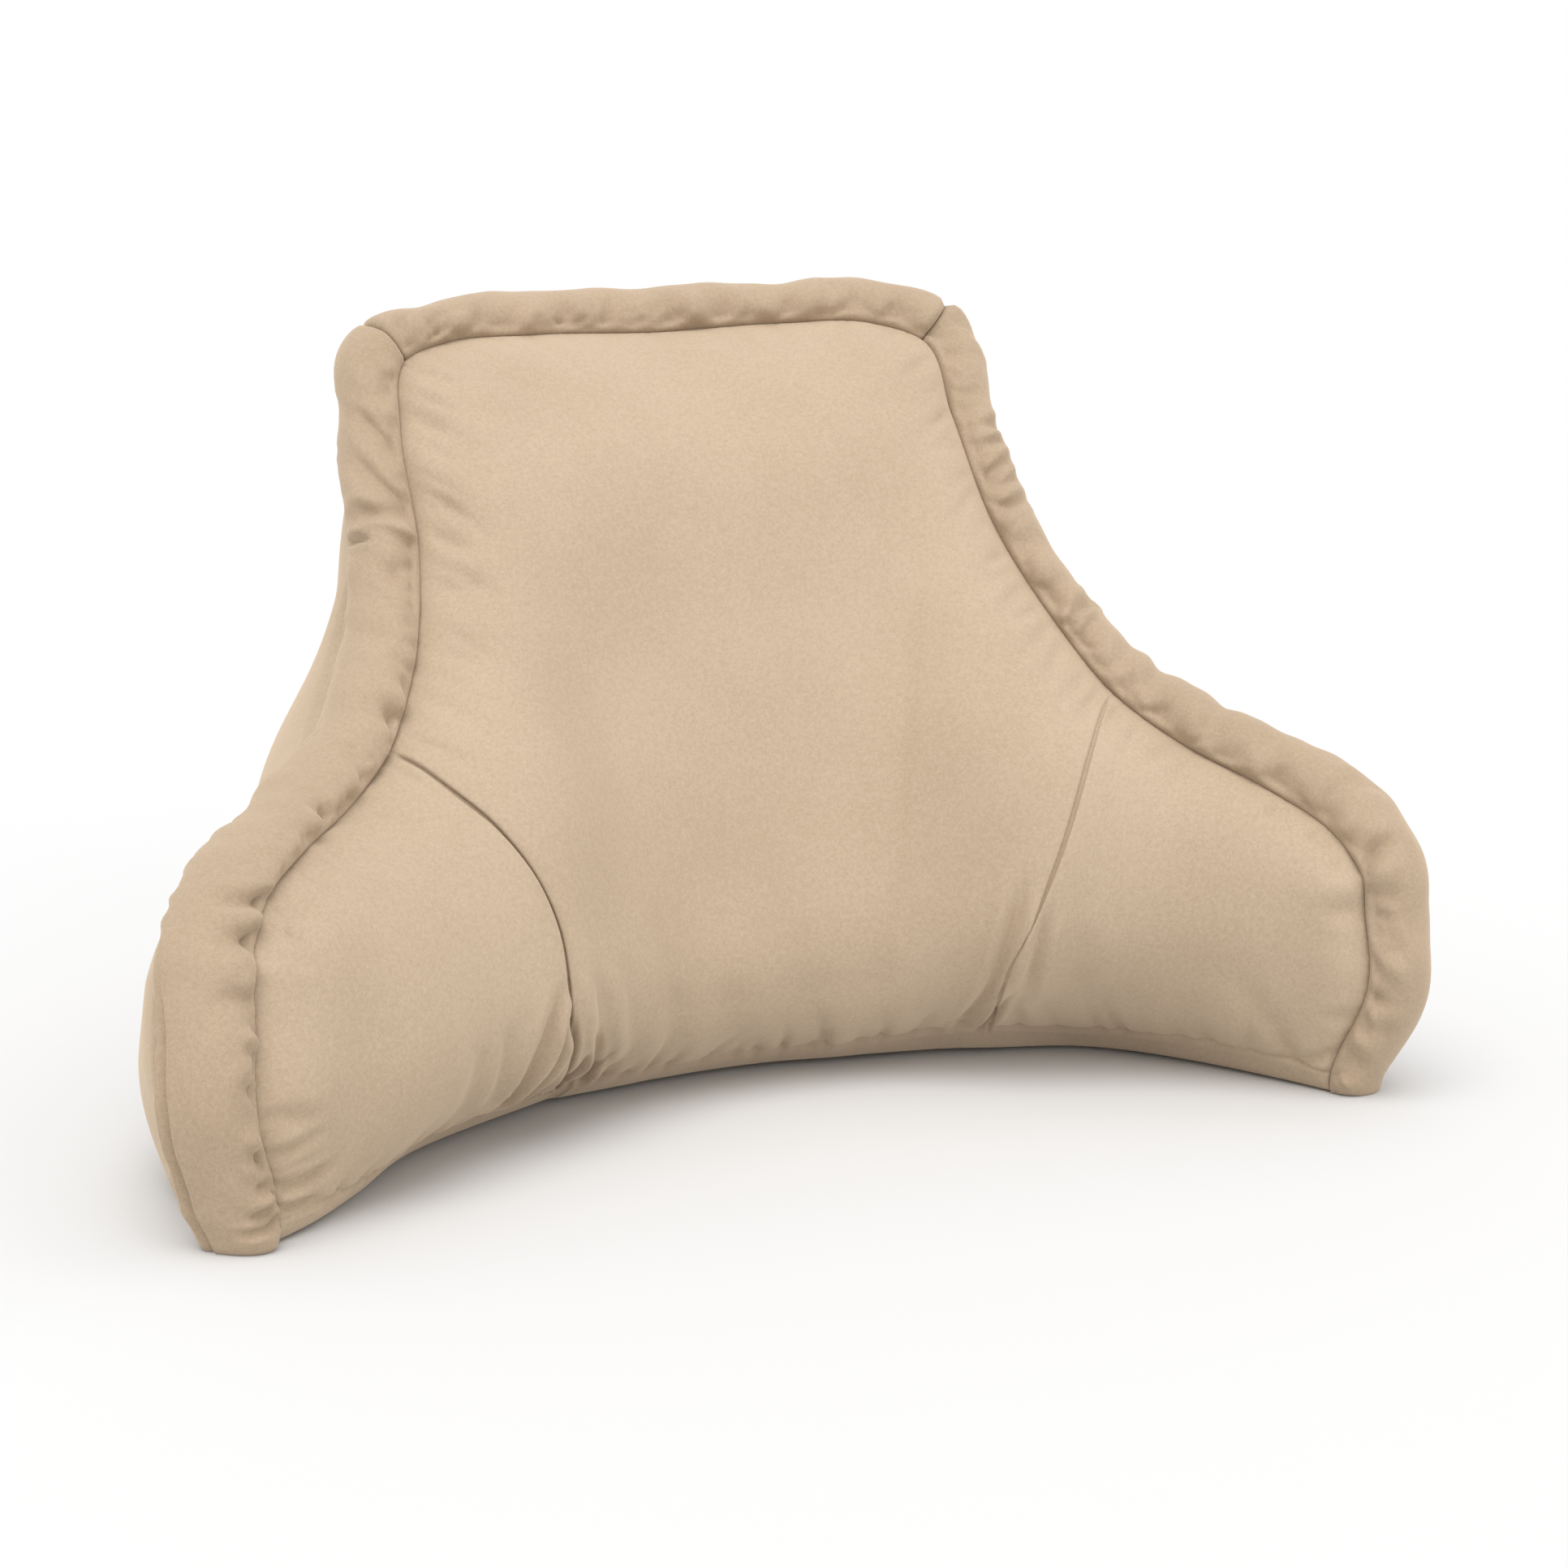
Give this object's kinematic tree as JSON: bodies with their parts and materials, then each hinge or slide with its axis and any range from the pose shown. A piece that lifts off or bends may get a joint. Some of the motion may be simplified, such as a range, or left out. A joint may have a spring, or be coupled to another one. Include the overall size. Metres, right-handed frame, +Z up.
{
  "type": "backrest cushion with arms",
  "caption": "Beige microfibre backrest cushion with arms, for sitting up in bed, with a very full crowned front and a thick padded roll sewn round its edge.",
  "frame": {"origin": "middle of the footprint, on the surface that the cushion stands on", "axes": "+Z up, +X along the width towards the arm on the right of the picture, -Y the way that the crowned front and the sitter face"},
  "size_m": [0.7346, 0.4913, 0.4698],
  "materials": {
    "beige_cloth": "matt brushed microfibre"
  },
  "bodies": {
    "root": {"filled_body": "beige_cloth", "edge_roll_left": "beige_cloth", "edge_roll_top": "beige_cloth", "edge_roll_right": "beige_cloth"}
  },
  "joints": []
}
